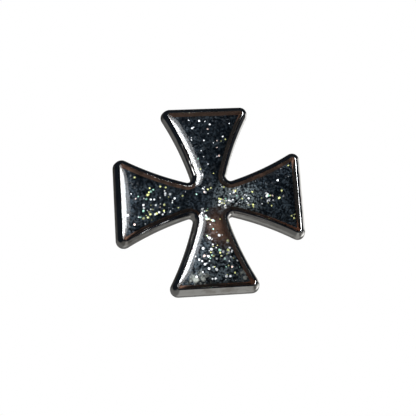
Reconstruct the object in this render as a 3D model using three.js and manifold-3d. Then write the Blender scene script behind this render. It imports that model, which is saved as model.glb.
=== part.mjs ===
// An enamel pin: a four-armed cross badge with a glitter enamel face under a
// clear resin dome, and a locking bar pin soldered to its back.
//
// Millimetres, +Z up. The badge is upright, as worn: its face looks along -Y,
// its top arm points along +Z, and the middle of its flat back is the origin.
// Depths are measured from the back towards the face, so they run along -Y.

import * as THREE from 'three';
import { mergeVertices } from 'three/addons/utils/BufferGeometryUtils.js';
import Module from 'manifold-3d';

const manifold = await Module();
manifold.setup();

// ---- the cross, measured round its back edge ----
const HALF_SPAN = 12.5;         // centre to the end of an arm
const ARM_HALF_END = 6.62;      // half an arm's end, to its sharp corner
const NOTCH = 2.18;             // a sharp notch's distance from both centre lines
const SIDE_HOLLOW = 0.42;       // how far an arm's side bows inwards
const CORNER_RADIUS = 1.05;
const LEAST_RADIUS = 0.05;      // what a corner keeps when the outline shrinks
const NOTCH_RADIUS = 0.47;
const CORNER_STEPS = 6;
const SIDE_STEPS = 5;
const NOTCH_STEPS = 2;

// ---- the tray: depths from the back, and insets from its back edge ----
const BACK_EDGE = 0.1;          // the back edge's small bevel
const WALL_MIDDLE = 1.1;
const WALL_TOP = 1.98;          // where the wall turns into the rim
const WALL_DRAFT = 0.36;        // how far the wall leans in on its way there
const END_LEAN = 0.32;          // how much further it leans in at an arm's end
const WALL_BULGE = 0.06;        // how far its middle stands out of a straight line
const RIM_WIDTH = 0.48;         // a round bead
const RIM_RISE = 0.32;
const RIM_STEPS = 8;
const RECESS_DEPTH = 1.2;       // back to the recess's floor
const FILL_GAP = 0.02;          // between the tray, the enamel and the resin
const ENAMEL_TOP = 1.8;
const DOME_EDGE = 2.08;         // where the resin meets the rim
const DOME_TOP = 2.95;
const DOME_SHOULDER = 1.0;      // how far in the resin's shoulder reaches
const DOME_STEPS = 5;

// ---- the bar pin: heights are measured away from the back, along +Y ----
const PAD_HEIGHT = 0.16;
const PAD_RADIUS = 1.7;
const PAD_X = 4.3;
const STUD_RADIUS = 0.55;
const STUD_HEIGHT = 0.95;
const STRIP_LENGTH = 20;
const STRIP_WIDTH = 3.8;
const STRIP_THICKNESS = 0.5;
const STRIP_HOLE_RADIUS = 0.7;
const PIVOT_X = -8.6;
const PIVOT_Y = 2.35;           // the stem's centre line, from the badge's back
const EAR_LENGTH = 2.3;
const EAR_THICKNESS = 0.5;
const EAR_HOLE_RADIUS = 0.52;
const RIVET_RADIUS = 0.42;
const RIVET_HEAD_RADIUS = 0.8;
const RIVET_HEAD_HEIGHT = 0.3;
const EYE_RADIUS = 0.95;
const EYE_HALF_LENGTH = 1.05;
const STEM_RADIUS = 0.38;
const TIP_X = 10.2;
const TAPER_X = 6.6;
const POINT_X = 9.4;

// ---- the catch, about the stem's centre line ----
const CATCH_X = 7.5;            // the middle of the housing
const HOUSING_LENGTH = 2.2;
const HOUSING_OUTER = 1.8;
const HOUSING_INNER = 1.35;
const HOUSING_OPENING = 62;     // degrees to each side of straight back
const SLEEVE_OUTER = 1.2;
const SLEEVE_BORE = 0.66;
const SLEEVE_SLOT = 1.1;
const COLLAR_RADIUS = 1.55;
const COLLAR_LENGTH = 0.35;
const COLLAR_GAP = 0.15;        // between a collar and the housing's end
const TAB_REACH = 2.6;
const TAB_THICKNESS = 0.42;
const TAB_LENGTH = 1.5;
const TAB_ANGLE = -45;          // degrees from straight back, at rest

const STRIP_BACK = PAD_HEIGHT + FILL_GAP;
const STRIP_FRONT = STRIP_BACK + STRIP_THICKNESS;
const EAR_INNER_Z = STRIP_WIDTH / 2 - EAR_THICKNESS;
const SMALL = 0.01;

function radians(degrees) {
  return degrees * Math.PI / 180;
}

// ---- the cross's outline ----

// Points on an arc, both ends included.
function arc(centre, radius, from, to, steps) {
  return Array.from({ length: steps + 1 }, (_, i) => {
    const angle = from + (to - from) * i / steps;
    return new THREE.Vector2(
      centre.x + radius * Math.cos(angle),
      centre.y + radius * Math.sin(angle));
  });
}

// The right half of the top arm, from its end down to the middle of the notch.
// Three tangent circles shape it: the corner, the hollow side and the notch.
// An inset outline keeps the circles of the side and the notch, with new radii.
// The arm's end moves in by endInset.
function halfArm(inset, endInset) {
  const corner = new THREE.Vector2(ARM_HALF_END, HALF_SPAN);
  const notch = new THREE.Vector2(NOTCH, NOTCH);
  const chord = corner.clone().sub(notch);
  const sideRadius = chord.length() ** 2 / (8 * SIDE_HOLLOW) + SIDE_HOLLOW / 2;
  const outward = new THREE.Vector2(chord.y, -chord.x).normalize();
  const side = notch.clone().add(corner).multiplyScalar(0.5)
    .addScaledVector(outward, sideRadius - SIDE_HOLLOW);

  const cornerRadius = Math.max(CORNER_RADIUS - inset, LEAST_RADIUS);
  const roundY = HALF_SPAN - endInset - cornerRadius;
  const reach = sideRadius + inset + cornerRadius;
  const round = new THREE.Vector2(side.x - Math.sqrt(reach ** 2 - (roundY - side.y) ** 2), roundY);

  // The notch's centre lies on the diagonal, inside the side's circle.
  const inner = sideRadius - NOTCH_RADIUS;
  const sum = side.x + side.y;
  const diagonal = (sum - Math.sqrt(sum ** 2 - 2 * (side.lengthSq() - inner ** 2))) / 2;
  const hollow = new THREE.Vector2(diagonal, diagonal);

  const toCorner = round.clone().sub(side).angle();
  const toNotch = hollow.clone().sub(side).angle();
  const fromCorner = side.clone().sub(round).angle() - 2 * Math.PI;
  return [
    ...arc(round, cornerRadius, Math.PI / 2, fromCorner, CORNER_STEPS),
    ...arc(side, sideRadius + inset, toCorner, toNotch, SIDE_STEPS).slice(1),
    ...arc(hollow, NOTCH_RADIUS + inset, toNotch, 5 * Math.PI / 4, NOTCH_STEPS).slice(1),
  ];
}

// One whole arm, counter-clockwise as the face is seen: from the middle of its
// right-hand notch over its end to just before the middle of the next notch.
function arm(inset, endInset) {
  const right = halfArm(inset, endInset).reverse();
  const left = halfArm(inset, endInset).map((p) => new THREE.Vector2(-p.x, p.y));
  return [...right, ...left.slice(0, -1)];
}

function cross(inset, endInset) {
  const centre = new THREE.Vector2(0, 0);
  return [0, 1, 2, 3].flatMap((quarter) =>
    arm(inset, endInset).map((p) => p.rotateAround(centre, quarter * Math.PI / 2)));
}

// ---- bodies ----

// The flat end of a stack: each arm is filled on its own, and a square joins them.
function flatEnd(ring, first) {
  const perArm = ring.length / 4;
  const triangles = [];
  for (let quarter = 0; quarter < 4; quarter += 1) {
    const places = Array.from({ length: perArm + 1 }, (_, i) => (quarter * perArm + i) % ring.length);
    const filled = THREE.ShapeUtils.triangulateShape(places.map((i) => ring[i]), []);
    triangles.push(...filled.map((triangle) => triangle.map((i) => first + places[i])));
  }
  const [a, b, c, d] = [0, 1, 2, 3].map((quarter) => first + quarter * perArm);
  triangles.push([a, b, c], [a, c, d]);
  return triangles;
}

// How much further in than its sides an arm's end stands, at a depth.
function endLean(depth) {
  return END_LEAN * THREE.MathUtils.clamp((depth - BACK_EDGE) / (WALL_TOP - BACK_EDGE), 0, 1);
}

// A closed cross-shaped body through outlines given as [depth, inset, endInset],
// back first. Without an endInset, the end leans in as the wall does.
function stack(layers) {
  const rings = layers.map(([depth, inset, endInset]) =>
    cross(inset, endInset ?? inset + endLean(depth)));
  const count = rings[0].length;
  const positions = rings.flatMap((ring, level) =>
    ring.flatMap((p) => [p.x, -layers[level][0], p.y]));
  const triangles = flatEnd(rings[0], 0).map(([a, b, c]) => [a, c, b]);
  for (let level = 0; level < rings.length - 1; level += 1) {
    for (let i = 0; i < count; i += 1) {
      const next = (i + 1) % count;
      const low = level * count;
      const high = low + count;
      triangles.push([low + i, low + next, high + next], [low + i, high + next, high + i]);
    }
  }
  triangles.push(...flatEnd(rings.at(-1), (rings.length - 1) * count));
  const geometry = new THREE.BufferGeometry();
  geometry.setAttribute('position', new THREE.Float32BufferAttribute(positions, 3));
  geometry.setIndex(triangles.flat());
  return geometry;
}

// A rounded crest as [depth, inset] layers: it climbs by rise over the radius
// width, and turns through the angle: half a turn makes a bead, a quarter a shoulder.
function rounded(depth, inset, rise, width, turn, steps) {
  return Array.from({ length: steps + 1 }, (_, i) => {
    const angle = turn * i / steps;
    return [depth + rise * Math.sin(angle), inset + width * (1 - Math.cos(angle))];
  });
}

function solid(geometry) {
  const bare = geometry.clone();
  bare.deleteAttribute('normal');
  bare.deleteAttribute('uv');
  const merged = mergeVertices(bare, 1e-5);
  const mesh = new manifold.Mesh({
    numProp: 3,
    vertProperties: merged.attributes.position.array,
    triVerts: new Uint32Array(merged.index.array),
  });
  return new manifold.Manifold(mesh);
}

function geometryOf(body) {
  const mesh = body.getMesh();
  const geometry = new THREE.BufferGeometry();
  geometry.setAttribute('position', new THREE.BufferAttribute(mesh.vertProperties, 3));
  geometry.setIndex(new THREE.BufferAttribute(mesh.triVerts, 1));
  return geometry;
}

// A turned body along +X, from [x, radius] pairs.
function turned(profile, sides) {
  const geometry = new THREE.LatheGeometry(profile.map(([x, r]) => new THREE.Vector2(r, x)), sides);
  return geometry.rotateZ(-Math.PI / 2);
}

// ---- the badge ----

function badgeBody() {
  const lean = WALL_DRAFT * (WALL_MIDDLE - BACK_EDGE) / (WALL_TOP - BACK_EDGE);
  return stack([
    [0, BACK_EDGE],
    [BACK_EDGE, 0],
    [WALL_MIDDLE, lean - WALL_BULGE],
    ...rounded(WALL_TOP, WALL_DRAFT, RIM_RISE, RIM_WIDTH / 2, Math.PI, RIM_STEPS),
    [RECESS_DEPTH, WALL_DRAFT + RIM_WIDTH, WALL_DRAFT + RIM_WIDTH + END_LEAN],
  ]);
}

const FILL_INSET = WALL_DRAFT + RIM_WIDTH + FILL_GAP;
const FILL_END_INSET = FILL_INSET + END_LEAN;

function enamelFill() {
  return stack([
    [RECESS_DEPTH + FILL_GAP, FILL_INSET, FILL_END_INSET],
    [ENAMEL_TOP, FILL_INSET, FILL_END_INSET],
  ]);
}

function resinDome() {
  const rise = DOME_TOP - DOME_EDGE;
  return stack([
    [ENAMEL_TOP + FILL_GAP, FILL_INSET, FILL_END_INSET],
    ...rounded(DOME_EDGE, FILL_INSET, rise, DOME_SHOULDER, Math.PI / 2, DOME_STEPS),
  ]);
}

// A pad of solder that spreads under the strip and rises through its hole.
function solderPad(x) {
  const profile = [
    [FILL_GAP, 0],
    [FILL_GAP, PAD_RADIUS],
    [PAD_HEIGHT, PAD_RADIUS - 0.1],
    [PAD_HEIGHT, STUD_RADIUS],
    [STUD_HEIGHT - 0.2, STUD_RADIUS],
    [STUD_HEIGHT, STUD_RADIUS - 0.2],
    [STUD_HEIGHT, 0],
  ];
  return turned(profile, 24).rotateZ(Math.PI / 2).translate(x, 0, 0);
}

// ---- the bar pin ----

// A flat shape in the X-Y plane, thickened along Z about the plane z = middle.
function plate(shape, thickness, middle, curveSegments = 12) {
  const geometry = new THREE.ExtrudeGeometry(shape, {
    depth: thickness,
    bevelEnabled: false,
    curveSegments,
  });
  return geometry.translate(0, 0, middle - thickness / 2);
}

function strip() {
  const half = STRIP_LENGTH / 2;
  const bend = STRIP_WIDTH / 2;
  const shape = new THREE.Shape();
  shape.moveTo(-half + bend, -bend);
  shape.lineTo(half - bend, -bend);
  shape.absarc(half - bend, 0, bend, -Math.PI / 2, Math.PI / 2, false);
  shape.lineTo(-half + bend, bend);
  shape.absarc(-half + bend, 0, bend, Math.PI / 2, 3 * Math.PI / 2, false);
  for (const x of [-PAD_X, 0, PAD_X]) {
    const hole = new THREE.Path();
    hole.absarc(x, 0, STRIP_HOLE_RADIUS, 0, 2 * Math.PI, true);
    shape.holes.push(hole);
  }
  return plate(shape, STRIP_THICKNESS, 0, 8)
    .rotateX(-Math.PI / 2)
    .translate(0, STRIP_BACK + STRIP_THICKNESS / 2, 0);
}

function ear(side) {
  const half = EAR_LENGTH / 2;
  const shape = new THREE.Shape();
  shape.moveTo(PIVOT_X - half, STRIP_BACK + SMALL);
  shape.lineTo(PIVOT_X + half, STRIP_BACK + SMALL);
  shape.absarc(PIVOT_X, PIVOT_Y, half, 0, Math.PI, false);
  const hole = new THREE.Path();
  hole.absarc(PIVOT_X, PIVOT_Y, EAR_HOLE_RADIUS, 0, 2 * Math.PI, true);
  shape.holes.push(hole);
  return plate(shape, EAR_THICKNESS, side * (EAR_INNER_Z + EAR_THICKNESS / 2), 8);
}

// The catch housing's section: a ring about the stem, open straight back.
// It is drawn with the opening along the shape's +X, then turned about to +Y.
function catchHousing() {
  const opening = radians(HOUSING_OPENING);
  const shape = new THREE.Shape();
  shape.absarc(0, 0, HOUSING_OUTER, opening, 2 * Math.PI - opening, false);
  shape.absarc(0, 0, HOUSING_INNER, 2 * Math.PI - opening, opening, true);
  return plate(shape, HOUSING_LENGTH, 0, 14)
    .rotateY(Math.PI / 2)
    .rotateX(Math.PI / 2)
    .translate(CATCH_X, PIVOT_Y, 0);
}

function barPlate() {
  const body = solid(strip())
    .add(solid(ear(-1)))
    .add(solid(ear(1)))
    .add(solid(catchHousing()));
  return geometryOf(body);
}

function hingeRivet() {
  const end = STRIP_WIDTH / 2 + 0.05;
  const top = end + RIVET_HEAD_HEIGHT;
  const profile = [
    [-top, 0],
    [-top, RIVET_HEAD_RADIUS - 0.2],
    [-end - 0.05, RIVET_HEAD_RADIUS],
    [-end, RIVET_RADIUS],
    [end, RIVET_RADIUS],
    [end + 0.05, RIVET_HEAD_RADIUS],
    [top, RIVET_HEAD_RADIUS - 0.2],
    [top, 0],
  ];
  return turned(profile, 20).rotateY(Math.PI / 2).translate(PIVOT_X, PIVOT_Y, 0);
}

// The needle, with the rolled eye that it turns on.
function pinStem() {
  const eye = new THREE.CylinderGeometry(EYE_RADIUS, EYE_RADIUS, 2 * EYE_HALF_LENGTH, 28);
  const bore = new THREE.CylinderGeometry(EAR_HOLE_RADIUS, EAR_HOLE_RADIUS, 2 * EYE_HALF_LENGTH + 1, 20);
  const shaft = turned([
    [PIVOT_X + EAR_HOLE_RADIUS, 0],
    [PIVOT_X + EAR_HOLE_RADIUS, STEM_RADIUS],
    [TAPER_X, STEM_RADIUS],
    [POINT_X, STEM_RADIUS * 0.72],
    [TIP_X, 0.03],
    [TIP_X, 0],
  ], 14);
  const body = solid(eye.rotateX(Math.PI / 2).translate(PIVOT_X, PIVOT_Y, 0))
    .add(solid(shaft.translate(0, PIVOT_Y, 0)))
    .subtract(solid(bore.rotateX(Math.PI / 2).translate(PIVOT_X, PIVOT_Y, 0)));
  return geometryOf(body);
}

// The turning sleeve: a collared tube with a straight slot and a thumb tab.
function catchSleeve() {
  const neck = HOUSING_LENGTH / 2 + COLLAR_GAP;
  const end = neck + COLLAR_LENGTH;
  const tube = turned([
    [-end, SLEEVE_BORE],
    [-end, COLLAR_RADIUS],
    [-neck, COLLAR_RADIUS],
    [-neck, SLEEVE_OUTER],
    [neck, SLEEVE_OUTER],
    [neck, COLLAR_RADIUS],
    [end, COLLAR_RADIUS],
    [end, SLEEVE_BORE],
    [-end, SLEEVE_BORE],
  ], 32);
  const slot = new THREE.BoxGeometry(2 * end + 1, COLLAR_RADIUS + 1, SLEEVE_SLOT)
    .translate(0, (COLLAR_RADIUS + 1) / 2, 0);
  const tabRoot = (SLEEVE_OUTER + SLEEVE_BORE) / 2;
  const outline = new THREE.Shape();
  outline.moveTo(-TAB_LENGTH / 2, tabRoot);
  outline.lineTo(TAB_LENGTH / 2, tabRoot);
  outline.lineTo(TAB_LENGTH / 2, TAB_REACH - TAB_LENGTH / 3);
  outline.quadraticCurveTo(TAB_LENGTH / 2, TAB_REACH, 0, TAB_REACH);
  outline.quadraticCurveTo(-TAB_LENGTH / 2, TAB_REACH, -TAB_LENGTH / 2, TAB_REACH - TAB_LENGTH / 3);
  const tab = plate(outline, TAB_THICKNESS, 0, 5).rotateX(radians(TAB_ANGLE));
  const body = solid(tube)
    .subtract(solid(slot))
    .add(solid(tab))
    .translate([CATCH_X, PIVOT_Y, 0]);
  return geometryOf(body);
}

// ---- materials and the assembly ----

const darkNickel = new THREE.MeshStandardMaterial({ color: 0x6b6763, metalness: 1, roughness: 0.16 });
const brightNickel = new THREE.MeshStandardMaterial({ color: 0xb9b6b0, metalness: 1, roughness: 0.25 });
const steel = new THREE.MeshStandardMaterial({ color: 0xc6c4bf, metalness: 1, roughness: 0.2 });
const solder = new THREE.MeshStandardMaterial({ color: 0x9a9c9e, metalness: 0.9, roughness: 0.5 });
const enamel = new THREE.MeshStandardMaterial({ color: 0x0d131b, metalness: 0, roughness: 0.35 });
const resin = new THREE.MeshStandardMaterial({ color: 0xdfe6ee, metalness: 0, roughness: 0.04 });

function part(name, geometry, material) {
  const mesh = new THREE.Mesh(geometry, material);
  mesh.name = name;
  return mesh;
}

const badge = new THREE.Group();
badge.add(
  part('badge_body', badgeBody(), darkNickel),
  part('enamel_fill', enamelFill(), enamel),
  part('resin_dome', resinDome(), resin),
);

const barPin = new THREE.Group();
barPin.add(
  part('bar_plate', barPlate(), brightNickel),
  part('solder_left', solderPad(-PAD_X), solder),
  part('solder_right', solderPad(PAD_X), solder),
  part('hinge_rivet', hingeRivet(), brightNickel),
  part('pin_stem', pinStem(), steel),
  part('catch_sleeve', catchSleeve(), brightNickel),
);

const group = new THREE.Group();
group.add(badge, barPin);

export default group;
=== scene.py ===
"""The looks of the enamel pin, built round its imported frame.

Metres, in the row frame: the face looks along -Y, +Z is up, and the middle of the badge's flat
back is the origin. A depth is measured from the back towards the face, so it runs along -Y; a
height is measured from the back towards the cloth, so it runs along +Y.
"""
import math

import bmesh
import bpy
import numpy as np
from mathutils import Matrix, Vector, geometry


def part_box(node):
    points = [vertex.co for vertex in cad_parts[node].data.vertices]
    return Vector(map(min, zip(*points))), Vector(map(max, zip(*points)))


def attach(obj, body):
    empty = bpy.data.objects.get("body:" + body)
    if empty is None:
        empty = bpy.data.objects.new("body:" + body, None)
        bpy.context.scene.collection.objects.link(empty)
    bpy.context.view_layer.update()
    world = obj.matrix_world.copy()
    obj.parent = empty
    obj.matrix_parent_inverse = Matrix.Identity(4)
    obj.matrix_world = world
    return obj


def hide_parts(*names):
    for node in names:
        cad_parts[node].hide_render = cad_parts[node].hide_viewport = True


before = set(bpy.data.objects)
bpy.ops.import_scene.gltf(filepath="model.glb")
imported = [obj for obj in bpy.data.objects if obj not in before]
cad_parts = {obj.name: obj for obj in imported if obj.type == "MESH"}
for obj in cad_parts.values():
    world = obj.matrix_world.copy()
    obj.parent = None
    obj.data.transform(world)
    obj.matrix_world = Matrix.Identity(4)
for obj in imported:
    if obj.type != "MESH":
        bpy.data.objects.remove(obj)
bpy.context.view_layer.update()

MM = 0.001
SEED = 7

# ---- sizes that the CAD model shares, in millimetres ----
HALF_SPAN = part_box("badge_body")[1].x / MM
ARM_HALF_END = 6.62
NOTCH = 2.18
SIDE_HOLLOW = 0.42
CORNER_RADIUS = 1.05
LEAST_RADIUS = 0.05
NOTCH_RADIUS = 0.47
BACK_EDGE = 0.1
# The tray's section, as (depth, inset along an arm's side, inset at its end). The
# wall stands nearly straight, then rounds over to a crisp edge and a flat crest.
WALL_SECTION = [
    (0.6, 0.03, 0.09), (1.1, 0.075, 0.19), (1.5, 0.13, 0.3), (1.75, 0.2, 0.44), (1.98, 0.3, 0.59),
    (2.15, 0.4, 0.7), (2.288, 0.5, 0.81), (2.3, 0.64, 0.91), (2.296, 0.68, 0.95),
]
# The tray's inner bank, from the crest down under the resin to the enamel.
BANK_SECTION = [(2.25, 0.74, 1.02), (2.1, 0.88, 1.15), (1.95, 1.02, 1.29), (1.8, 1.15, 1.42)]
RECESS_DEPTH = 1.2
RECESS_INSET, RECESS_END_INSET = BANK_SECTION[-1][1:]
ENAMEL_TOP = -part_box("enamel_fill")[0].y / MM
DOME_EDGE = 2.28                # where the resin's edge clings, just inside the rim's crest
DOME_INSET = 0.69
DOME_END_INSET = 0.96
DOME_TOP = -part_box("resin_dome")[0].y / MM
DOME_ROWS = (0, 0.06, 0.15)     # rows of points that follow the edge, before the lattice starts
DOME_STEPS = (40, 6, 90, 10)    # along half an arm: its end, corner, side and notch
DOME_SPACING = 0.16
DOME_REACH = 0.75               # how far in from its edge the resin climbs
DOME_CREASE = 50                # degrees, between the crown and its upright edge

# ---- the bar pin's sizes, in millimetres ----
STRIP_LENGTH = 20
STRIP_WIDTH = 3.8
STRIP_THICKNESS = 0.5
STRIP_MIDDLE = 0.43             # the middle of its thickness, from the badge's back
STRIP_HOLE_RADIUS = 0.7
PAD_X = 4.3
PAD_RADIUS = 1.7
PIVOT_X = -8.6
PIVOT_Y = 2.35
EAR_LENGTH = 2.3
EAR_THICKNESS = 0.5
EAR_HOLE_RADIUS = 0.52
RIVET_RADIUS = 0.42
RIVET_HEAD_RADIUS = 0.8
RIVET_HEAD = (1.95, 2.25)       # where a head starts and ends along the rivet
RIVET_BEVEL = 0.04
EYE_RADIUS = 0.95
EYE_LENGTH = 2.1
EYE_SEAM = 0.07                 # radians, where the rolled wire doesn't quite close
STEM_RADIUS = 0.38
TAPER_X = 6.4                   # where the needle starts to narrow
TAPER_LENGTH = 3.78
CATCH_X = 7.5
HOUSING_LENGTH = 2.2
HOUSING_RADII = (1.8, 1.35)
HOUSING_OPENING = 62            # degrees to each side of straight back
SLEEVE_RADIUS = 1.2
SLEEVE_BORE = 0.66
SLEEVE_SLOT = 1.1
COLLAR_RADIUS = 1.55
COLLAR_LENGTH = 0.35
COLLAR_GAP = 0.15
TAB_REACH = 2.6
TAB_THICKNESS = 0.42
TAB_LENGTH = 1.5
TAB_ANGLE = -45                 # degrees from straight back
TAB_RIDGES = (1.75, 1.97, 2.19)
TAB_RIDGE_LENGTH = 0.93
TAB_RIDGE_RADIUS = 0.05


# ---- meshes and objects ----

def add_object(name, data, body, slot, *replaced):
    """Links a piece, lets it ride on its body and hides the nodes it stands for."""
    piece = bpy.data.objects.new(name, data)
    bpy.context.scene.collection.objects.link(piece)
    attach(piece, body)
    if replaced:
        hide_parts(*replaced)
    return piece


def mesh_from(name, points, faces, crease_degrees=None):
    """A smooth-shaded mesh from points in millimetres, sharp where its faces meet more steeply."""
    data = bpy.data.meshes.new(name)
    data.from_pydata([tuple(c * MM for c in p) for p in points], [], [tuple(f) for f in faces])
    data.validate()
    data.polygons.foreach_set("use_smooth", [True] * len(data.polygons))
    if crease_degrees is not None:
        data.set_sharp_from_angle(angle=math.radians(crease_degrees))
    data.update()
    return data


# ---- the cross's outline ----

def arc(centre, radius, start, end, steps):
    """Points along an arc, from one angle to another."""
    angles = np.linspace(start, end, steps + 1)
    return np.stack([centre[0] + radius * np.cos(angles), centre[1] + radius * np.sin(angles)], 1)


def half_arm(inset, end_inset, steps):
    """The right half of the top arm, from its end round the corner and down to the notch."""
    corner = np.array([ARM_HALF_END, HALF_SPAN])
    notch = np.array([NOTCH, NOTCH])
    chord = corner - notch
    length = np.hypot(*chord)
    side_radius = length ** 2 / (8 * SIDE_HOLLOW) + SIDE_HOLLOW / 2
    outward = np.array([chord[1], -chord[0]]) / length
    side = (corner + notch) / 2 + outward * (side_radius - SIDE_HOLLOW)

    corner_radius = max(CORNER_RADIUS - inset, LEAST_RADIUS)
    round_y = HALF_SPAN - end_inset - corner_radius
    reach = side_radius + inset + corner_radius
    bend = np.array([side[0] - math.sqrt(reach ** 2 - (round_y - side[1]) ** 2), round_y])

    inner = side_radius - NOTCH_RADIUS
    total = side.sum()
    diagonal = (total - math.sqrt(total ** 2 - 2 * (side @ side - inner ** 2))) / 2
    hollow = np.array([diagonal, diagonal])

    def angle(v):
        return math.atan2(v[1], v[0]) % (2 * math.pi)

    end_steps, corner_steps, side_steps, notch_steps = steps
    end_line = np.stack([np.linspace(0, bend[0], end_steps + 1)[:-1],
                         np.full(end_steps, round_y + corner_radius)], 1)
    return np.vstack([
        end_line,
        arc(bend, corner_radius, math.pi / 2, angle(side - bend) - 2 * math.pi, corner_steps),
        arc(side, side_radius + inset, angle(bend - side), angle(hollow - side), side_steps)[1:],
        arc(hollow, NOTCH_RADIUS + inset, angle(hollow - side), 5 * math.pi / 4, notch_steps)[1:],
    ])


def cross(inset, end_inset, steps=(24, 10, 44, 8)):
    """The whole outline, counter-clockwise as the face is seen."""
    right = half_arm(inset, end_inset, steps)
    left = right * [-1, 1]
    arm = np.vstack([right[:0:-1], left[:-1]])
    quarters = []
    for quarter in range(4):
        turn = quarter * math.pi / 2
        spin = np.array([[math.cos(turn), -math.sin(turn)], [math.sin(turn), math.cos(turn)]])
        quarters.append(arm @ spin.T)
    return np.vstack(quarters)


def stack(name, layers, crease_degrees):
    """A closed cross through outlines given as (depth, inset, end inset), back first."""
    rings = [cross(inset, end_inset) for _, inset, end_inset in layers]
    count = len(rings[0])
    points = [(x, -layer[0], z) for ring, layer in zip(rings, layers) for x, z in ring]
    faces = [list(range(count))[::-1]]
    for low in range(0, (len(layers) - 1) * count, count):
        for i in range(count):
            j = (i + 1) % count
            faces.append([low + i, low + j, low + count + j, low + count + i])
    top = (len(layers) - 1) * count
    faces.append(list(range(top, top + count)))
    return mesh_from(name, points, faces, crease_degrees)


def wall_layers():
    """The tray's layers: a rounded foot, the wall, the rim and the recess."""
    layers = []
    for i in range(5):
        turn = math.pi / 2 * i / 4
        bevel = BACK_EDGE * (1 - math.sin(turn))
        layers.append((BACK_EDGE * (1 - math.cos(turn)), bevel, bevel))
    return layers + WALL_SECTION + BANK_SECTION + [(RECESS_DEPTH, RECESS_INSET, RECESS_END_INSET)]


# ---- the resin's crown ----

def lattice(outline, spacing, clearance):
    """Points of a triangular lattice inside an outline, at least the clearance away from it."""
    low, high = outline.min(0), outline.max(0)
    rows = np.arange(low[1], high[1], spacing * math.sqrt(3) / 2)
    points = []
    for index, y in enumerate(rows):
        xs = np.arange(low[0] + spacing / 2 * (index % 2), high[0], spacing)
        points.append(np.stack([xs, np.full(len(xs), y)], 1))
    points = np.vstack(points)
    keep = inside(outline, points) & (edge_distance(outline, points) > clearance)
    return points[keep]


def inside(outline, points):
    """Which points lie inside an outline."""
    hit = np.zeros(len(points), bool)
    for (x0, y0), (x1, y1) in zip(outline, np.roll(outline, -1, 0)):
        if y0 == y1:
            continue
        crosses = (points[:, 1] > y0) != (points[:, 1] > y1)
        hit ^= crosses & (points[:, 0] < x0 + (x1 - x0) * (points[:, 1] - y0) / (y1 - y0))
    return hit


def edge_distance(outline, points):
    """How far each point is from an outline."""
    nearest = np.full(len(points), np.inf)
    for a, b in zip(outline, np.roll(outline, -1, 0)):
        along = b - a
        t = np.clip((points - a) @ along / max(along @ along, 1e-12), 0, 1)
        nearest = np.minimum(nearest, np.hypot(*(points - a - t[:, None] * along).T))
    return nearest


def crown(points, triangles, fixed, reach):
    """Heights of a liquid's crown over a flat triangle mesh, 0 at the fixed points and 1 at most.

    Surface tension pulls it up within about one reach of the edge, and weight keeps it flat
    beyond. It is the finite-element solution of h - reach^2 * laplacian(h) = 1.
    """
    a, b, c = (points[triangles[:, k]] for k in range(3))
    area = np.abs(np.cross(b - a, c - a)) / 2
    weight = np.zeros(len(points))
    rows, columns, values = [], [], []
    for k in range(3):
        i, j, o = triangles[:, k], triangles[:, (k + 1) % 3], triangles[:, (k + 2) % 3]
        p, q = points[i] - points[o], points[j] - points[o]
        cotangent = (p * q).sum(1) / np.maximum(np.abs(np.cross(p, q)), 1e-12)
        rows += [i, j]
        columns += [j, i]
        values += [cotangent / 2, cotangent / 2]
        np.add.at(weight, i, area / 3)
    rows, columns, values = (np.concatenate(part) for part in (rows, columns, values))
    diagonal = np.bincount(rows, values, len(points))

    def apply(h):
        spread = diagonal * h - np.bincount(rows, values * h[columns], len(points))
        return np.where(fixed, 0, weight * h + reach ** 2 * spread)

    height = np.zeros(len(points))
    scale = np.where(fixed, 1, weight + reach ** 2 * diagonal)
    residual = np.where(fixed, 0, weight)
    step = residual / scale
    energy = residual @ step
    for _ in range(600):
        image = apply(step)
        rate = energy / (step @ image)
        height += rate * step
        residual -= rate * image
        if np.abs(residual).max() < 1e-9:
            break
        better = residual / scale
        following = residual @ better
        step = better + step * following / energy
        energy = following
    return height / height.max()


def dome_mesh(name):
    """The resin: a flat underside, a short upright edge and the crown."""
    edge, *rows = [cross(DOME_INSET + off, DOME_END_INSET + off, DOME_STEPS) for off in DOME_ROWS]
    middle = lattice(rows[-1], DOME_SPACING, DOME_SPACING * 0.6)
    points = np.vstack([edge, *rows, middle])
    loop = list(range(len(edge)))
    result = geometry.delaunay_2d_cdt([Vector(p) for p in points], [], [loop], 1, 1e-6)
    points = np.array([tuple(p) for p in result[0]])
    triangles = np.array([tuple(f) for f in result[2]])
    on_edge = np.array([any(k < len(edge) for k in origin) for origin in result[3]])
    heights = crown(points, triangles, on_edge, DOME_REACH)
    depths = DOME_EDGE + (DOME_TOP - DOME_EDGE) * heights
    shape = [(x, -depth, z) for (x, z), depth in zip(points, depths)]

    count = len(shape)
    start_of = {min(origin): k for k, origin in enumerate(result[3]) if on_edge[k]}
    rim = [start_of[k] for k in range(len(edge))]
    base = -(ENAMEL_TOP + 0.02)
    shape += [(points[k][0], base, points[k][1]) for k in rim]
    faces = [tuple(t) for t in triangles]
    crown_faces = len(faces)
    for i in range(len(rim)):
        j = (i + 1) % len(rim)
        faces.append((count + i, count + j, rim[j], rim[i]))
    faces.append(tuple(range(count, count + len(rim)))[::-1])
    return mesh_from(name, shape, faces, DOME_CREASE), crown_faces
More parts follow.
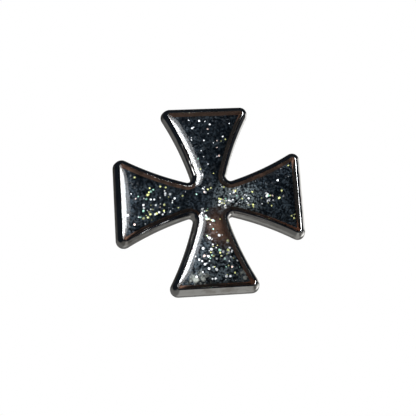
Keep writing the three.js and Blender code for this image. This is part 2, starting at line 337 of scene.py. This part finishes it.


# ---- glitter ----

# Where the glitter lies thickest: (x, z, radius, how many flakes), in millimetres. The last two, by
# the middle, stand partly for glitter and partly for the end of the window's reflection on the
# resin: a painted reflection.
GLITTER_AND_GLINT_PATCHES = [
    (-7.4, -0.4, 2.9, 38), (-8.5, -2.3, 1.5, 12), (1.7, -0.6, 0.8, 30), (3.0, 1.1, 0.9, 14),
    (1.6, 1.6, 0.5, 6), (3.8, -0.5, 1.3, 14), (-0.3, -2.8, 0.7, 10), (7.7, -0.4, 0.8, 10),
    (10.9, -2.8, 0.8, 7), (0.7, -7.4, 3.3, 84), (0.4, 5.4, 3.6, 14),
    # Painted reflection: these two small clusters stand in for the end of the window's reflection
    # at the notches by the middle.
    (-0.7, 1.2, 0.45, 9), (-0.9, -1.6, 0.5, 9),
]
LOOSE_FLAKES = 290              # scattered over the badge's square; about 3 in 10 are kept
FLAKE_SIZES = (0.06, 0.2)       # least and greatest radius
FLAKE_MARGIN = 0.14             # how far they keep from the recess's wall
FLAKE_TILT = 13                 # degrees, as a standard deviation
FLAKE_COLOURS = [               # a colour, and how large a share of the flakes has it
    ((0.93, 0.94, 0.96), 0.54),
    ((0.84, 0.86, 0.30), 0.3),
    ((0.45, 0.86, 0.66), 0.08),
    ((0.95, 0.70, 0.62), 0.08),
]


def flake_places(rng):
    """Where the flakes lie, as (x, z): some anywhere, most in the patches, none past the recess."""
    edge = cross(RECESS_INSET + FLAKE_MARGIN, RECESS_END_INSET + FLAKE_MARGIN, (6, 4, 12, 4))
    places = [rng.uniform(-HALF_SPAN, HALF_SPAN, (LOOSE_FLAKES, 2))]
    for x, z, radius, count in GLITTER_AND_GLINT_PATCHES:
        around = rng.uniform(0, 2 * math.pi, count)
        away = radius * rng.uniform(0, 1, count) ** 0.6
        places.append(np.stack([x + away * np.cos(around), z + away * np.sin(around)], 1))
    places = np.vstack(places)
    return places[inside(edge, places)]


def glitter_and_glint_mesh(name):
    """Small six-sided flakes that float just over the enamel, each tilted its own way. Two small
    clusters by the middle are a painted reflection.
    """
    rng = np.random.default_rng(SEED)
    places = flake_places(rng)
    points, faces, colours = [], [], []
    least, greatest = FLAKE_SIZES
    chances = [share for _, share in FLAKE_COLOURS]
    for x, z in places:
        radius = least + (greatest - least) * rng.uniform(0, 1) ** 1.5
        radius *= np.interp(z, (-6, 6), (0.98, 0.75))
        tilt_x, tilt_z = np.radians(rng.normal(0, FLAKE_TILT, 2))
        spin = rng.uniform(0, math.pi / 3)
        depth = ENAMEL_TOP + radius * 0.6 + rng.uniform(0.01, 0.06)
        first = len(points)
        for corner in range(6):
            angle = spin + corner * math.pi / 3
            u, v = radius * math.cos(angle), radius * math.sin(angle)
            points.append((x + u, -depth + u * math.tan(tilt_x) + v * math.tan(tilt_z), z + v))
        faces.append([first + k for k in range(6)])
        colour = FLAKE_COLOURS[rng.choice(len(FLAKE_COLOURS), p=chances)][0]
        lightness = rng.uniform(0.15, 1.04)
        colours.append([channel * lightness for channel in colour])
    data = mesh_from(name, points, faces)
    data.polygons.foreach_set("use_smooth", [False] * len(faces))
    layer = data.color_attributes.new("flake_colour", "FLOAT_COLOR", "CORNER")
    values = [channel for colour in colours for _ in range(6) for channel in (*colour, 1.0)]
    layer.data.foreach_set("color", values)
    return data


# ---- the bar pin's shapes ----

def circle(x, y, radius):
    """A closed circle's points, without the last that would repeat the first."""
    return arc((x, y), radius, 0, 2 * math.pi, 40)[:-1]


def plate(name, outlines, thickness, bevel, placed):
    """A flat plate with softly rounded edges, from closed outlines; inner outlines are holes."""
    curve = bpy.data.curves.new(name, "CURVE")
    curve.dimensions = "2D"
    curve.fill_mode = "BOTH"
    curve.extrude = (thickness / 2 - bevel) * MM
    curve.bevel_depth = bevel * MM
    curve.bevel_resolution = 3
    curve.offset = -bevel * MM
    for outline in outlines:
        spline = curve.splines.new("POLY")
        spline.points.add(len(outline) - 1)
        for point, (x, y) in zip(spline.points, outline):
            point.co = (x * MM, y * MM, 0, 1)
        spline.use_cyclic_u = True
    holder = bpy.data.objects.new(name, curve)
    bpy.context.scene.collection.objects.link(holder)
    shape = holder.evaluated_get(bpy.context.evaluated_depsgraph_get())
    data = bpy.data.meshes.new_from_object(shape)
    bpy.data.objects.remove(holder)
    bpy.data.curves.remove(curve)
    data.transform(placed)
    return data


def turned(name, profile, placed, sides=48):
    """A turned shape about its own X axis, from (x, radius) pairs in millimetres."""
    points, faces = [], []
    for x, radius in profile:
        for k in range(sides):
            angle = 2 * math.pi * k / sides
            points.append((x, radius * math.cos(angle), radius * math.sin(angle)))
    for row in range(len(profile) - 1):
        for k in range(sides):
            low, high = row * sides, (row + 1) * sides
            after = (k + 1) % sides
            faces.append([low + k, high + k, high + after, low + after])
    if profile[0] != profile[-1]:
        faces.append(list(range(sides)))
        faces.append(list(range(len(points) - sides, len(points)))[::-1])
    data = mesh_from(name, points, faces)
    join_doubles(data)
    data.transform(placed)
    return data


def join_doubles(data):
    """Closes a mesh where its points meet, and faces it outwards."""
    work = bmesh.new()
    work.from_mesh(data)
    bmesh.ops.remove_doubles(work, verts=work.verts, dist=1e-7)
    bmesh.ops.recalc_face_normals(work, faces=work.faces)
    work.to_mesh(data)
    work.free()


def joined(name, meshes, crease_degrees=35):
    """One mesh from several, smooth-shaded, sharp where its faces meet steeply."""
    work = bmesh.new()
    for data in meshes:
        work.from_mesh(data)
        bpy.data.meshes.remove(data)
    bmesh.ops.remove_doubles(work, verts=work.verts, dist=1e-8)
    result = bpy.data.meshes.new(name)
    work.to_mesh(result)
    work.free()
    result.polygons.foreach_set("use_smooth", [True] * len(result.polygons))
    result.set_sharp_from_angle(angle=math.radians(crease_degrees))
    return result


def move(x, y, z):
    return Matrix.Translation(Vector((x, y, z)) * MM)


def turn(degrees, axis):
    return Matrix.Rotation(math.radians(degrees), 4, axis)


FACING_BACK = turn(90, "X")                     # a plate's X-Y plane lies on the badge's back
SECTION = turn(90, "X") @ turn(90, "Y")         # a plate's X points back and its Z along the stem


def rounded_bar(length, width):
    """A bar's outline, with half-round ends."""
    half, bend = length / 2, width / 2
    right = arc((half - bend, 0), bend, -math.pi / 2, math.pi / 2, 28)
    left = arc((bend - half, 0), bend, math.pi / 2, 3 * math.pi / 2, 28)
    return np.vstack([right, left])


def strip_mesh():
    """The strip, with a hole in its middle and one over each solder pad."""
    outlines = [rounded_bar(STRIP_LENGTH, STRIP_WIDTH)]
    outlines += [circle(x, 0, STRIP_HOLE_RADIUS) for x in (-PAD_X, 0, PAD_X)]
    placed = move(0, STRIP_MIDDLE, 0) @ FACING_BACK
    return plate("strip", outlines, STRIP_THICKNESS, 0.09, placed)


def ear_mesh(side):
    """One of the two ears that stand up from the strip and hold the rivet."""
    half = EAR_LENGTH / 2
    foot = STRIP_MIDDLE - PIVOT_Y
    outline = np.vstack([[[-half, foot], [half, foot]], arc((0, 0), half, 0, math.pi, 28)])
    middle = (STRIP_WIDTH - EAR_THICKNESS) / 2
    placed = move(PIVOT_X, PIVOT_Y, side * middle)
    return plate("ear", [outline, circle(0, 0, EAR_HOLE_RADIUS)], EAR_THICKNESS, 0.07, placed)


def open_ring(outer, inner, outer_opening, inner_opening):
    """A ring's section, open towards +X by these angles to each side."""
    full = 2 * math.pi
    return np.vstack([
        arc((0, 0), outer, outer_opening, full - outer_opening, 56),
        arc((0, 0), inner, full - inner_opening, inner_opening, 48),
    ])


def housing_mesh():
    """The rolled catch housing, open towards the back."""
    opening = math.radians(HOUSING_OPENING)
    outline = open_ring(*HOUSING_RADII, opening, opening)
    placed = move(CATCH_X, PIVOT_Y, 0) @ SECTION
    return plate("housing", [outline], HOUSING_LENGTH, 0.07, placed)


def slotted_ring(radius, length, x):
    """A length of the catch's sleeve, with its straight slot towards the back."""
    openings = [math.asin(SLEEVE_SLOT / 2 / reach) for reach in (radius, SLEEVE_BORE)]
    outline = open_ring(radius, SLEEVE_BORE, *openings)
    placed = move(CATCH_X + x, PIVOT_Y, 0) @ SECTION
    return plate("ring", [outline], length, 0.05, placed)


def sleeve_mesh():
    """The turning sleeve, with a collar at each end and a ridged thumb tab."""
    neck = HOUSING_LENGTH / 2 + COLLAR_GAP
    parts = [slotted_ring(SLEEVE_RADIUS, 2 * neck + COLLAR_LENGTH, 0)]
    for side in (-1, 1):
        parts.append(slotted_ring(COLLAR_RADIUS, COLLAR_LENGTH, side * (neck + COLLAR_LENGTH / 2)))

    half = TAB_LENGTH / 2
    end = TAB_REACH - half
    outline = np.vstack([[[-half, SLEEVE_BORE + 0.2], [half, SLEEVE_BORE + 0.2]],
                         arc((0, end), half, 0, math.pi, 24)])
    placed = move(CATCH_X, PIVOT_Y, 0) @ turn(TAB_ANGLE, "X")
    parts.append(plate("tab", [outline], TAB_THICKNESS, 0.08, placed))
    ridge = rounded_profile(TAB_RIDGE_LENGTH, TAB_RIDGE_RADIUS)
    for height in TAB_RIDGES:
        for side in (-1, 1):
            across = placed @ move(0, height, side * (TAB_THICKNESS / 2 - 0.01))
            parts.append(turned("ridge", ridge, across, 12))
    return joined("catch_sleeve_look", parts)


def rounded_profile(length, radius):
    """A thin rod's profile about X, with round ends."""
    half = length / 2 - radius
    angles = np.linspace(0.15, 1.57, 4)
    start = [(-half - radius * math.cos(angle), radius * math.sin(angle)) for angle in angles]
    return start + [(-x, r) for x, r in start[::-1]]


def rivet_mesh():
    """A turned pin with a domed head at each end."""
    low, high = RIVET_HEAD
    radius = RIVET_HEAD_RADIUS
    edge = low + RIVET_BEVEL
    head = [(low, RIVET_RADIUS), (low, radius - RIVET_BEVEL), (edge, radius)]
    for angle in np.linspace(0.12, 1.45, 9):
        head.append((edge + (high - edge) * math.sin(angle), radius * math.cos(angle)))
    profile = [(-x, r) for x, r in head[::-1]] + head
    placed = move(PIVOT_X, PIVOT_Y, 0) @ turn(90, "Y")
    return joined("rivet_look", [turned("rivet", profile, placed)])


def stem_mesh():
    """The needle: a rolled eye with its seam, a round shaft and a fine point."""
    eye = open_ring(EYE_RADIUS, EAR_HOLE_RADIUS, EYE_SEAM / 2, EYE_SEAM)
    eye_placed = move(PIVOT_X, PIVOT_Y, 0) @ turn(215, "Z")
    start = PIVOT_X + EAR_HOLE_RADIUS + 0.05
    shaft = [(start, STEM_RADIUS), (TAPER_X, STEM_RADIUS)]
    for t in np.linspace(0, 1, 12)[1:]:
        shaft.append((TAPER_X + TAPER_LENGTH * t, max(STEM_RADIUS * (1 - t ** 2.2), 0.018)))
    shaft.append((TAPER_X + TAPER_LENGTH + 0.02, 0.006))
    return joined("stem_look", [
        plate("eye", [eye], EYE_LENGTH, 0.1, eye_placed),
        turned("shaft", shaft, move(0, PIVOT_Y, 0), 32),
    ])


def solder_mesh(x, seed):
    """A blob that has run out under the strip and stands up through its hole."""
    rng = np.random.default_rng(seed)
    under_strip = [(0.02, PAD_RADIUS - 0.25), (0.05, PAD_RADIUS - 0.05), (0.12, PAD_RADIUS - 0.1),
                   (0.17, PAD_RADIUS - 0.35)]
    in_hole = [(0.4, 0.66), (0.66, 0.69)]
    cap = [(0.7, 0.9), (0.76, 0.94), (0.82, 0.85), (0.87, 0.66), (0.92, 0.42), (0.945, 0.2),
           (0.95, 0.06)]
    profile = under_strip + in_hole + cap
    placed = move(x, 0, 0) @ turn(90, "Z")
    data = turned("solder", profile, placed)
    waves = [(order, rng.uniform(0, 6.28), rng.uniform(0.02, 0.055)) for order in (2, 3, 5)]
    for vertex in data.vertices:
        off = vertex.co.x - x * MM
        angle = math.atan2(vertex.co.z, off)
        swell = 1 + sum(size * math.cos(order * angle + phase) for order, phase, size in waves)
        vertex.co.x = x * MM + off * swell
        vertex.co.z *= swell
    return joined("solder_look", [data], 60)


# ---- materials ----

class Shading:
    """Adds nodes to one tree. An input that is given as a socket is linked, any other is set."""

    def __init__(self, tree):
        self.tree = tree
        tree.nodes.clear()

    def node(self, kind, inputs=None, output=0, **settings):
        """Adds a node and returns its output socket."""
        made = self.tree.nodes.new("ShaderNode" + kind)
        for key, value in settings.items():
            setattr(made, key, value)
        for key, value in (inputs or {}).items():
            socket = made.inputs[key]
            if isinstance(value, bpy.types.NodeSocket):
                self.tree.links.new(value, socket)
            elif socket.type == "RGBA":
                socket.default_value = (*value, 1)
            else:
                socket.default_value = value
        return made.outputs[output] if made.outputs else made

    def math(self, operation, a, b=0.0):
        return self.node("Math", {0: a, 1: b}, operation=operation)

    def vector(self, operation, a, b=(0, 0, 0)):
        return self.node("VectorMath", {0: a, 1: b}, operation=operation)

    def span(self, value, low, high, to_low=0.0, to_high=1.0):
        """A smooth step from to_low to to_high, as value goes from low to high."""
        inputs = {
            "Value": value, "From Min": low, "From Max": high, "To Min": to_low, "To Max": to_high,
        }
        return self.node("MapRange", inputs, interpolation_type="SMOOTHSTEP")

    def mix(self, share, a, b):
        """Colour a where the share is 0, and b where it is 1."""
        return self.node("Mix", {0: share, 6: a, 7: b}, output=2, data_type="RGBA")

    def place(self, stretch=(1, 1, 1)):
        """Where the point is on its piece, in millimetres."""
        where = self.node("TexCoord", output="Object")
        return self.vector("MULTIPLY", where, tuple(k / MM for k in stretch))

    def around(self, place, x, z, inner, outer):
        """1 within the inner radius of a point on the face, and 0 beyond the outer one."""
        off = self.vector("SUBTRACT", self.vector("MULTIPLY", place, (1, 0, 1)), (x, 0, z))
        away = self.node("VectorMath", {0: off}, 1, operation="LENGTH")
        return self.span(away, inner, outer, 1.0, 0.0)

    def noise(self, place, scale, detail=2.0, output=0):
        return self.node("TexNoise", {"Vector": place, "Scale": scale, "Detail": detail}, output)

    def bump(self, height, distance_mm, strength=1.0, normal=None):
        inputs = {"Height": height, "Distance": distance_mm * MM, "Strength": strength}
        if normal:
            inputs["Normal"] = normal
        return self.node("Bump", inputs)

    def finish(self, shader, output="OutputMaterial"):
        self.node(output, {"Surface": shader})


def material(name):
    made = bpy.data.materials.new(name)
    made.use_nodes = True
    return made, Shading(made.node_tree)


def dark_nickel():
    """Polished black nickel over a die casting: slow waves, fine scuffs and a little tarnish."""
    made, s = material("dark_nickel")
    place = s.place()
    waves = s.bump(s.noise(place, 0.9, 1.0), 0.05, 0.6)
    grain = s.bump(s.noise(place, 14.0, 3.0), 0.004, 0.5, waves)
    tarnish = s.span(s.noise(place, 0.7, 4.0), 0.45, 0.75)
    scuffs = s.noise(s.place((9, 9, 1.5)), 1.3, 4.0)
    shader = s.node("BsdfPrincipled", {
        "Base Color": s.mix(tarnish, (0.60, 0.60, 0.60), (0.42, 0.40, 0.385)),
        "Metallic": 1.0,
        "Roughness": s.span(scuffs, 0.35, 0.8, 0.03, 0.07),
        "Normal": grain,
    })
    s.finish(shader)
    return made


def bank_painted_reflection():
    """The tray's inner bank under the resin: matt, and painted a warm brown, a painted reflection
    of a brown thing on the right.

    The painted reflection is faint at the top arm's end, and the bank is rusty at the lower right
    of the cross.
    """
    made, s = material("bank_painted_reflection")
    place = s.place()
    x, _, z = s.node("SeparateXYZ", {0: place}).node.outputs
    # Painted reflection: a patchy warm brown stands in for a brown thing on the right, fainter at
    # the top arm's end.
    patchy = s.span(s.noise(place, 1.1, 4.0), 0.35, 0.7)
    patchy = s.math("MULTIPLY", patchy, s.span(z, 12, 3, 0.2, 1.0))
    painted_reflection = s.mix(patchy, (0.022, 0.0125, 0.0088), (0.070, 0.038, 0.026))
    rusty = s.math("MULTIPLY", s.span(z, -1.5, -4.0), s.span(x, 0.0, 1.5))
    shader = s.node("BsdfPrincipled", {
        "Base Color": s.mix(rusty, painted_reflection, (0.120, 0.050, 0.029)),
        "Metallic": 0.0,
        "Specular IOR Level": 0.08,
        "Roughness": s.span(s.noise(place, 5.0, 3.0), 0.3, 0.7, 0.4, 0.6),
        "Normal": s.bump(s.noise(place, 6.0, 3.0), 0.02, 0.5),
    })
    s.finish(shader)
    return made


def cast_back():
    """The badge's back: the same plating over a finely pebbled casting."""
    made, s = material("cast_back")
    place = s.place()
    pebbles = s.node("TexVoronoi", {"Vector": place, "Scale": 3.2, "Smoothness": 1.0},
                     feature="SMOOTH_F1")
    height = s.math("SUBTRACT", 1.0, pebbles)
    fine = s.bump(s.noise(place, 22.0, 3.0), 0.006, 0.6)
    shader = s.node("BsdfPrincipled", {
        "Base Color": s.mix(s.noise(place, 0.5, 3.0), (0.36, 0.355, 0.35), (0.5, 0.5, 0.495)),
        "Metallic": 1.0,
        "Roughness": s.span(s.noise(place, 1.6, 3.0), 0.3, 0.7, 0.24, 0.38),
        "Normal": s.bump(height, 0.09, 0.9, fine),
    })
    s.finish(shader)
    return made


def glitter_enamel():
    """Blue-black enamel full of fine flakes, each of which faces its own way.

    Light specks grow more common towards the bottom. Right of the middle and on the bottom arm,
    more and paler specks are painted light, for the light and the window's reflection that fall
    there. The top of the bottom arm is tinted brown, and its end has two frosted patches.
    """
    made, s = material("glitter_enamel")
    place = s.place()
    fine = s.node("TexVoronoi", {"Vector": place, "Scale": 4.5}, output="Color")
    facing = s.vector("SUBTRACT", fine, (0.5, 0.5, 0.5))
    facing = s.vector("MULTIPLY", facing, (0.9, 0.9, 0.9))
    normal = s.vector("NORMALIZE", s.vector("ADD", s.node("NewGeometry", output="Normal"), facing))

    pick = s.node("TexVoronoi", {"Vector": place, "Scale": 5.0}, output="Color")
    lightness = s.node("SeparateColor", {0: pick}, output=0)
    cloud = s.noise(place, 0.45, 3.0)
    height = s.node("SeparateXYZ", {0: place}, "Z")
    # More light specks towards the bottom, in patches.
    towards_bottom = s.span(height, 10, -10, 0.6, 1.8)
    towards_bottom = s.math("MULTIPLY", towards_bottom, s.span(cloud, 0.3, 0.62, 0.3, 1.0))
    # Painted light: right of the middle and on the bottom arm, more and paler specks stand in for
    # the light that falls there.
    bottom_arm_painted_light = s.math("MULTIPLY", s.around(place, 0.4, -9.0, 1.0, 5.0), 0.3)
    painted_light_patches = s.math("ADD", s.around(place, 3.4, -0.3, 1.0, 4.2), bottom_arm_painted_light)
    share = s.math("MULTIPLY", s.span(lightness, 0.3, 1.0), s.math("ADD", towards_bottom, painted_light_patches))
    dark = s.mix(cloud, (0.0003, 0.0005, 0.001), (0.001, 0.002, 0.003))
    lighter = s.mix(cloud, (0.006, 0.009, 0.012), (0.024, 0.031, 0.038))
    # Painted light: in these patches the lighter specks are paler still.
    lighter = s.mix(s.math("MULTIPLY", painted_light_patches, 0.8), lighter, (0.090, 0.105, 0.108))
    colour = s.mix(share, dark, lighter)

    warmth = s.around(place, 1.7, -3.8, 0.8, 3.5)
    warmth = s.math("MULTIPLY", warmth, s.span(cloud, 0.3, 0.6, 0.4, 0.9))
    colour = s.mix(warmth, colour, (0.055, 0.029, 0.019))
    frost = s.around(place, -2.1, -10.7, 0.4, 1.9)
    frost = s.math("ADD", frost, s.around(place, 3.9, -10.3, 0.2, 1.3))
    frost = s.math("MULTIPLY", frost, s.span(s.noise(place, 1.9, 4.0), 0.44, 0.62))
    shader = s.node("BsdfPrincipled", {
        "Base Color": s.mix(frost, colour, (0.15, 0.155, 0.14)),
        "Metallic": 0.0,
        "Roughness": 0.42,
        "Specular IOR Level": 0.12,
        "Normal": normal,
    })
    s.finish(shader)
    return made


def glitter_flake():
    """A single glitter flake, in the colour that its faces carry."""
    made, s = material("glitter_flake")
    colour = s.node("Attribute", output="Color", attribute_name="flake_colour")
    speck = s.noise(s.place(), 9.0, 1.0)
    shader = s.node("BsdfPrincipled", {
        "Base Color": s.mix(s.span(speck, 0.3, 0.7, 0.0, 0.2), colour, (0.4, 0.42, 0.45)),
        "Metallic": 0.25,
        "Roughness": s.span(speck, 0.3, 0.7, 0.18, 0.32),
    })
    s.finish(shader)
    return made


def clear_resin():
    """Clear epoxy: a transparent skin with the gloss of its surface."""
    made, s = material("clear_resin")
    place = s.place()
    normal = s.bump(s.noise(place, 0.8, 1.0), 0.02, 0.5)
    gloss = s.node("BsdfAnisotropic", {
        "Color": (1.0, 1.0, 1.0),
        "Roughness": s.span(s.noise(place, 2.0, 4.0), 0.45, 0.8, 0.03, 0.09),
        "Normal": normal,
    })
    clear = s.node("BsdfTransparent", {"Color": (0.96, 0.975, 0.985)})
    edge = s.node("Fresnel", {"IOR": 1.52, "Normal": normal})
    s.finish(s.node("MixShader", {0: edge, 1: clear, 2: gloss}))
    return made


def bright_nickel(name="bright_nickel", colour=(0.72, 0.70, 0.665), grain=(1.2, 14, 14)):
    """Stamped sheet or wire under nickel plate: fine drawn lines, worn a little unevenly."""
    made, s = material(name)
    place = s.place()
    lines = s.noise(s.place(grain), 1.6, 4.0)
    worn = s.span(s.noise(place, 1.1, 4.0), 0.4, 0.72)
    shader = s.node("BsdfPrincipled", {
        "Base Color": s.mix(worn, colour, tuple(0.8 * c for c in colour)),
        "Metallic": 1.0,
        "Roughness": s.span(lines, 0.3, 0.75, 0.16, 0.34),
        "Normal": s.bump(lines, 0.006, 0.5, s.bump(s.noise(place, 1.3, 2.0), 0.02, 0.5)),
    })
    s.finish(shader)
    return made


def solder():
    """Dull tin solder with flow rings and a few pits."""
    made, s = material("solder")
    place = s.place()
    lumps = s.noise(place, 2.6, 4.0)
    shader = s.node("BsdfPrincipled", {
        "Base Color": s.mix(lumps, (0.45, 0.45, 0.46), (0.62, 0.62, 0.62)),
        "Metallic": 1.0,
        "Roughness": s.span(s.noise(place, 6.0, 3.0), 0.3, 0.7, 0.28, 0.5),
        "Normal": s.bump(lumps, 0.05, 0.6),
    })
    s.finish(shader)
    return made


# ---- the studio ----

# Soft panels in the world: (azimuth, elevation, half width, half height, softness, radiance).
# Angles are in degrees. Azimuth 0 is on the camera's side, towards -Y, and 90 is towards +X.
PANELS = [
    (-64, 20, 24, 36, 4, (24.0, 24.5, 25.0)),     # a tall window on the left
    (-35, 16, 9, 32, 7, (4.2, 4.3, 4.4)),         # and the bright wall beside it
    (80, 4, 24, 50, 12, (0.3, 0.29, 0.28)),       # a dim wall on the right
    (146, 10, 18, 8, 5, (1.15, 1.13, 1.10)),      # a lamp behind it, for the right-hand edges
    (136, -22, 12, 14, 6, (1.5, 1.48, 1.43)),     # and a lower one, for the bar pin
]
FRONT = (0.010, 0.013, 0.018)   # the dark room in front
BEHIND = (0.16, 0.158, 0.15)    # the wall behind, level with the badge
DUSK = (0.035, 0.034, 0.033)    # and higher up
TABLE = (0.40, 0.395, 0.375)    # the table behind and below
ABOVE = (0.20, 0.17, 0.15)
BELOW = (0.13, 0.125, 0.12)


def make_world():
    """What the badge reflects: panels and soft tones, all round it. The camera sees plain white."""
    world = bpy.data.worlds.new("studio")
    bpy.context.scene.world = world
    world.use_nodes = True
    s = Shading(world.node_tree)
    direction = s.node("TexCoord", output="Generated")
    x, y, z = s.node("SeparateXYZ", {0: direction}).node.outputs
    azimuth = s.math("ARCTAN2", x, s.math("MULTIPLY", y, -1.0))
    elevation = s.math("ARCSINE", z)

    glow = s.mix(s.span(z, -0.55, -0.8), FRONT, BELOW)
    overhead = s.math("MULTIPLY", s.span(z, 0.62, 0.9), s.span(y, 0.35, 0.2))
    glow = s.mix(overhead, glow, ABOVE)
    downward = s.math("MULTIPLY", s.math("MINIMUM", z, 0.0), -0.62)
    back = s.mix(s.span(z, 0.3, -0.08), DUSK, BEHIND)
    below = s.math("ABSOLUTE", s.math("SUBTRACT", x, 0.1))
    below = s.math("MULTIPLY", s.span(below, 0.36, 0.08), s.span(z, -0.36, -0.5))
    back = s.mix(below, back, TABLE)
    glow = s.mix(s.span(s.math("ADD", y, downward), 0.6, 0.76), glow, back)
    for across, up, half_width, half_height, softness, radiance in PANELS:
        share = 1.0
        for value, centre, half in ((azimuth, across, half_width), (elevation, up, half_height)):
            off = s.math("ABSOLUTE", s.math("SUBTRACT", value, math.radians(centre)))
            near, far = math.radians(half - softness), math.radians(half + softness)
            edge = s.span(off, near, far, 1.0, 0.0)
            share = s.math("MULTIPLY", edge, share)
        glow = s.mix(share, glow, radiance)

    seen = s.node("LightPath", output="Is Camera Ray")
    light = s.node("Background", {"Color": s.mix(seen, glow, (1.0, 1.0, 1.0)), "Strength": 1.0})
    s.finish(light, "OutputWorld")


def make_key_light():
    """A broad soft lamp by the camera, for the enamel and its flakes. The gloss doesn't show it."""
    data = bpy.data.lights.new("key", "AREA")
    data.shape = "DISK"
    data.size = 0.08
    data.energy = 0.85
    light = bpy.data.objects.new("key", data)
    bpy.context.scene.collection.objects.link(light)
    light.matrix_world = turn(70, "X") @ turn(-25, "Y") @ move(0, 0, 150)
    light.visible_glossy = False


def make_floor():
    """A plain pale sweep well below the badge, which neither shades it nor shows in its gloss."""
    size = 8.0
    depth = -0.06
    corners = [(-size, -size), (size, -size), (size, size), (-size, size)]
    data = bpy.data.meshes.new("floor")
    data.from_pydata([(x, y, depth) for x, y in corners], [], [(0, 1, 2, 3)])
    floor = bpy.data.objects.new("floor", data)
    bpy.context.scene.collection.objects.link(floor)
    made, s = material("floor")
    far = s.node("VectorMath", {0: s.node("TexCoord", output="Object")}, 1, operation="LENGTH")
    pale = s.mix(s.span(far, 0.1, 0.32), (0.80, 0.80, 0.805), (1.0, 1.0, 1.0))
    s.finish(s.node("Emission", {"Color": pale}))
    data.materials.append(made)
    floor.visible_glossy = False
    floor.visible_diffuse = False
    floor.visible_shadow = False


CAMERA_DISTANCE = 98.6          # from the badge's back, in millimetres
CAMERA_AZIMUTH = -6.32          # seen a little from the left
CAMERA_ELEVATION = -10.40       # and a little from below
CAMERA_ROLL = -3.76
CAMERA_AIM = (0.089, -0.549)    # turned this much to the left and up after that
CAMERA_LENS = 64.5


def make_camera():
    data = bpy.data.cameras.new("camera")
    data.lens = CAMERA_LENS
    data.sensor_width = 36
    data.clip_start = 0.005
    data.clip_end = 20
    camera = bpy.data.objects.new("camera", data)
    bpy.context.scene.collection.objects.link(camera)
    around = turn(90, "X") @ turn(CAMERA_AZIMUTH, "Y") @ turn(-CAMERA_ELEVATION, "X")
    around = around @ turn(CAMERA_ROLL, "Z") @ move(0, 0, CAMERA_DISTANCE)
    camera.matrix_world = around @ turn(CAMERA_AIM[0], "Y") @ turn(CAMERA_AIM[1], "X")
    bpy.context.scene.camera = camera


# ---- the pieces ----

def build_badge():
    """The tray, the enamel, the resin over it and the glitter between them."""
    layers = wall_layers()
    tray = stack("badge_body_look", layers, 25)
    # The third finish is the inner bank, with its painted reflection.
    for finish in (dark_nickel(), cast_back(), bank_painted_reflection()):
        tray.materials.append(finish)
    faces_each = (len(tray.polygons) - 2) // (len(layers) - 1)
    tray.polygons[0].material_index = 1
    for polygon in list(tray.polygons)[-1 - len(BANK_SECTION) * faces_each:-1]:
        polygon.material_index = 2
    add_object("badge_body_look", tray, "badge", "dark_nickel", "badge_body")

    enamel = glitter_enamel()
    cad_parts["enamel_fill"].material_slots[0].material = enamel

    dome, crown_faces = dome_mesh("resin_dome_look")
    dome.materials.append(clear_resin())
    dome.materials.append(enamel)
    for polygon in list(dome.polygons)[crown_faces:]:
        polygon.material_index = 1
    add_object("resin_dome_look", dome, "badge", "clear_resin", "resin_dome")

    flakes = glitter_and_glint_mesh("glitter_and_glint_look")
    flakes.materials.append(glitter_flake())
    add_object("glitter_and_glint_look", flakes, "badge", "glitter_enamel")


def build_bar_pin():
    """The bar pin on the badge's back, with its needle and its catch."""
    nickel = bright_nickel()
    steel = bright_nickel("steel_wire", (0.66, 0.655, 0.64), (2, 16, 16))
    tin = solder()
    plate_parts = [strip_mesh(), ear_mesh(-1), ear_mesh(1), housing_mesh()]
    pieces = [
        (joined("bar_plate_look", plate_parts), "badge", "bright_nickel", "bar_plate", nickel),
        (rivet_mesh(), "badge", "bright_nickel", "hinge_rivet", nickel),
        (stem_mesh(), "stem", "steel_wire", "pin_stem", steel),
        (sleeve_mesh(), "catch", "bright_nickel", "catch_sleeve", nickel),
        (solder_mesh(-PAD_X, 1), "badge", "solder", "solder_left", tin),
        (solder_mesh(PAD_X, 2), "badge", "solder", "solder_right", tin),
    ]
    for data, body, slot, node, finish in pieces:
        data.materials.append(finish)
        add_object(node + "_look", data, body, slot, node)


build_badge()
build_bar_pin()
make_world()
make_key_light()
make_floor()
make_camera()
bpy.context.scene.view_settings.view_transform = "Standard"
